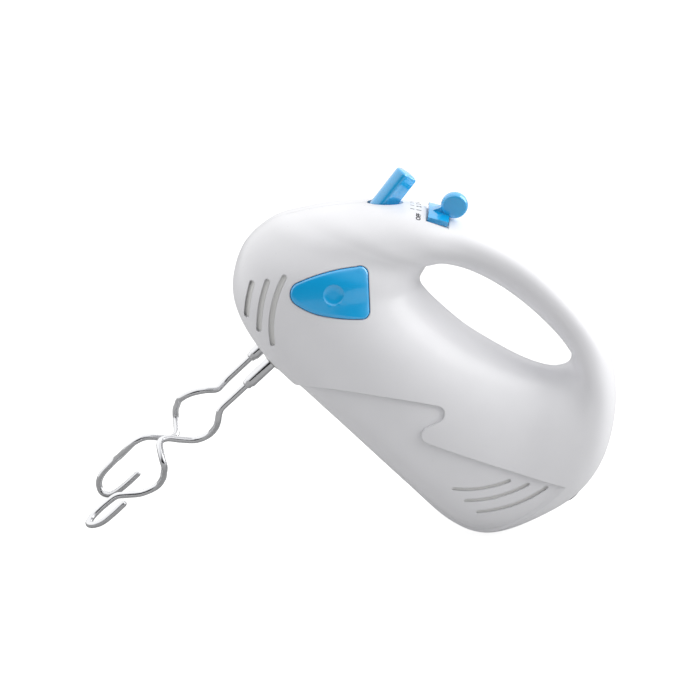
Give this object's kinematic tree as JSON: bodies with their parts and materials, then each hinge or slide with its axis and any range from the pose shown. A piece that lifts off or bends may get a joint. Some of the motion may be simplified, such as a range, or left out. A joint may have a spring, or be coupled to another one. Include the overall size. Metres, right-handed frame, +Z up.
{
  "type": "hand mixer",
  "caption": "Electric hand mixer with loop handle, speed lever, beater release button and twin wire dough hooks driven by a motor and worm gears.",
  "frame": {"origin": "middle of the bounding box footprint, on the surface that the mixer lies on", "axes": "the mixer lies as it rests on a table, on its hook tips and the heel of its body; +Z up, -X the way the hooks and the nose point, -Y the side of the OFF position"},
  "size_m": [0.2406, 0.0804, 0.167],
  "materials": {
    "white_housing": "white moulded plastic, fine satin gloss",
    "blue_plastic": "sky blue moulded plastic, soft gloss",
    "inner_white": "natural white acetal",
    "black_plastic": "black moulded plastic",
    "grey_rubber": "dark grey rubber",
    "chrome_wire": "bright chrome plate",
    "plain_steel": "zinc plated and ground steel",
    "cast_alloy": "die cast, matt",
    "bronze": "sintered bronze",
    "laminations": "stacked steel sheet",
    "copper": "enamelled copper",
    "carbon": "pressed carbon",
    "board_green": "green circuit board",
    "yellow_film": "yellow capacitor case",
    "red_lead": "red lead insulation",
    "plate_silver": "satin blank foil"
  },
  "bodies": {
    "housing": {"housing_left": "white_housing", "housing_right": "white_housing", "housing_screws": "plain_steel", "badge_left": "blue_plastic", "badge_right": "blue_plastic", "rating_plate": "plate_silver", "cord_gland": "grey_rubber", "cord_clamp": "inner_white", "clamp_screws": "plain_steel", "vent_screens": "inner_white", "ejector_spring": "plain_steel", "switch_body": "black_plastic", "switch_contacts": "copper", "gearbox_frame": "cast_alloy", "gearbox_cover": "cast_alloy", "cover_screws": "plain_steel", "spindle_bushes": "bronze", "shaft_bushes": "bronze", "stator_core": "laminations", "field_coils": "copper", "motor_end_frame": "black_plastic", "brush_holders": "bronze", "carbon_brushes": "carbon", "brush_springs": "plain_steel", "circuit_board": "board_green", "capacitor": "yellow_film", "diode": "black_plastic", "lead_wires": "red_lead"},
    "speed_control": {"speed_lever": "blue_plastic", "lever_carrier": "inner_white", "wiper_contact": "copper"},
    "release_button": {"ejector_button": "blue_plastic"},
    "release_fork": {"ejector_fork": "inner_white"},
    "rotor": {"motor_shaft": "plain_steel", "worm_gear": "bronze", "cooling_fan": "black_plastic", "armature_core": "laminations", "armature_windings": "copper", "commutator": "copper"},
    "left_spindle": {"spindle_socket_left": "plain_steel", "worm_wheel_left": "inner_white"},
    "right_spindle": {"spindle_socket_right": "plain_steel", "worm_wheel_right": "inner_white"},
    "left_pin": {"push_pin_left": "plain_steel"},
    "right_pin": {"push_pin_right": "plain_steel"},
    "left_beater": {"hook_shank_left": "chrome_wire", "dough_hook_left": "chrome_wire"},
    "right_beater": {"hook_shank_right": "chrome_wire", "dough_hook_right": "chrome_wire"}
  },
  "joints": [
    {"name": "speed_select", "type": "hinge", "parent": "housing", "child": "speed_control", "pos_m": [0.02965, 0, 0.11777], "axis": [-0.9736, 0, 0.2284], "range_deg": [0, 26]},
    {"name": "release_press", "type": "slide", "parent": "housing", "child": "release_button", "axis": [-0.5878, 0, -0.809], "range_m": [0, 0.007], "stiffness_N_per_m": 400, "springref_m": -0.004},
    {"name": "fork_slide", "type": "slide", "parent": "housing", "child": "release_fork", "axis": [-0.7071, 0, -0.7071], "range_m": [0, 0.007], "deforming": ["ejector_spring"]},
    {"name": "motor_spin", "type": "hinge", "parent": "housing", "child": "rotor", "pos_m": [-0.01346, 0, 0.10499], "axis": [0.7071, 0, -0.7071], "continuous": true},
    {"name": "left_spindle_spin", "type": "hinge", "parent": "housing", "child": "left_spindle", "pos_m": [-0.02195, -0.022, 0.0965], "axis": [0.7071, 0, 0.7071], "continuous": true},
    {"name": "right_spindle_spin", "type": "hinge", "parent": "housing", "child": "right_spindle", "pos_m": [-0.02195, 0.022, 0.0965], "axis": [0.7071, 0, 0.7071], "continuous": true},
    {"name": "left_pin_push", "type": "slide", "parent": "left_spindle", "child": "left_pin", "axis": [-0.7071, 0, -0.7071], "range_m": [0, 0.007]},
    {"name": "right_pin_push", "type": "slide", "parent": "right_spindle", "child": "right_pin", "axis": [-0.7071, 0, -0.7071], "range_m": [0, 0.007]},
    {"name": "left_beater_pull", "type": "slide", "parent": "left_pin", "child": "left_beater", "axis": [-0.7071, 0, -0.7071], "range_m": [0, 0.045]},
    {"name": "right_beater_pull", "type": "slide", "parent": "right_pin", "child": "right_beater", "axis": [-0.7071, 0, -0.7071], "range_m": [0, 0.045]}
  ],
  "couplings": [
    {"joint": "fork_slide", "follows": "release_press", "ratio": 1},
    {"joint": "left_pin_push", "follows": "release_press", "ratio": 1},
    {"joint": "right_pin_push", "follows": "release_press", "ratio": 1},
    {"joint": "left_spindle_spin", "follows": "motor_spin", "ratio": 0.038462},
    {"joint": "right_spindle_spin", "follows": "motor_spin", "ratio": -0.038462}
  ]
}
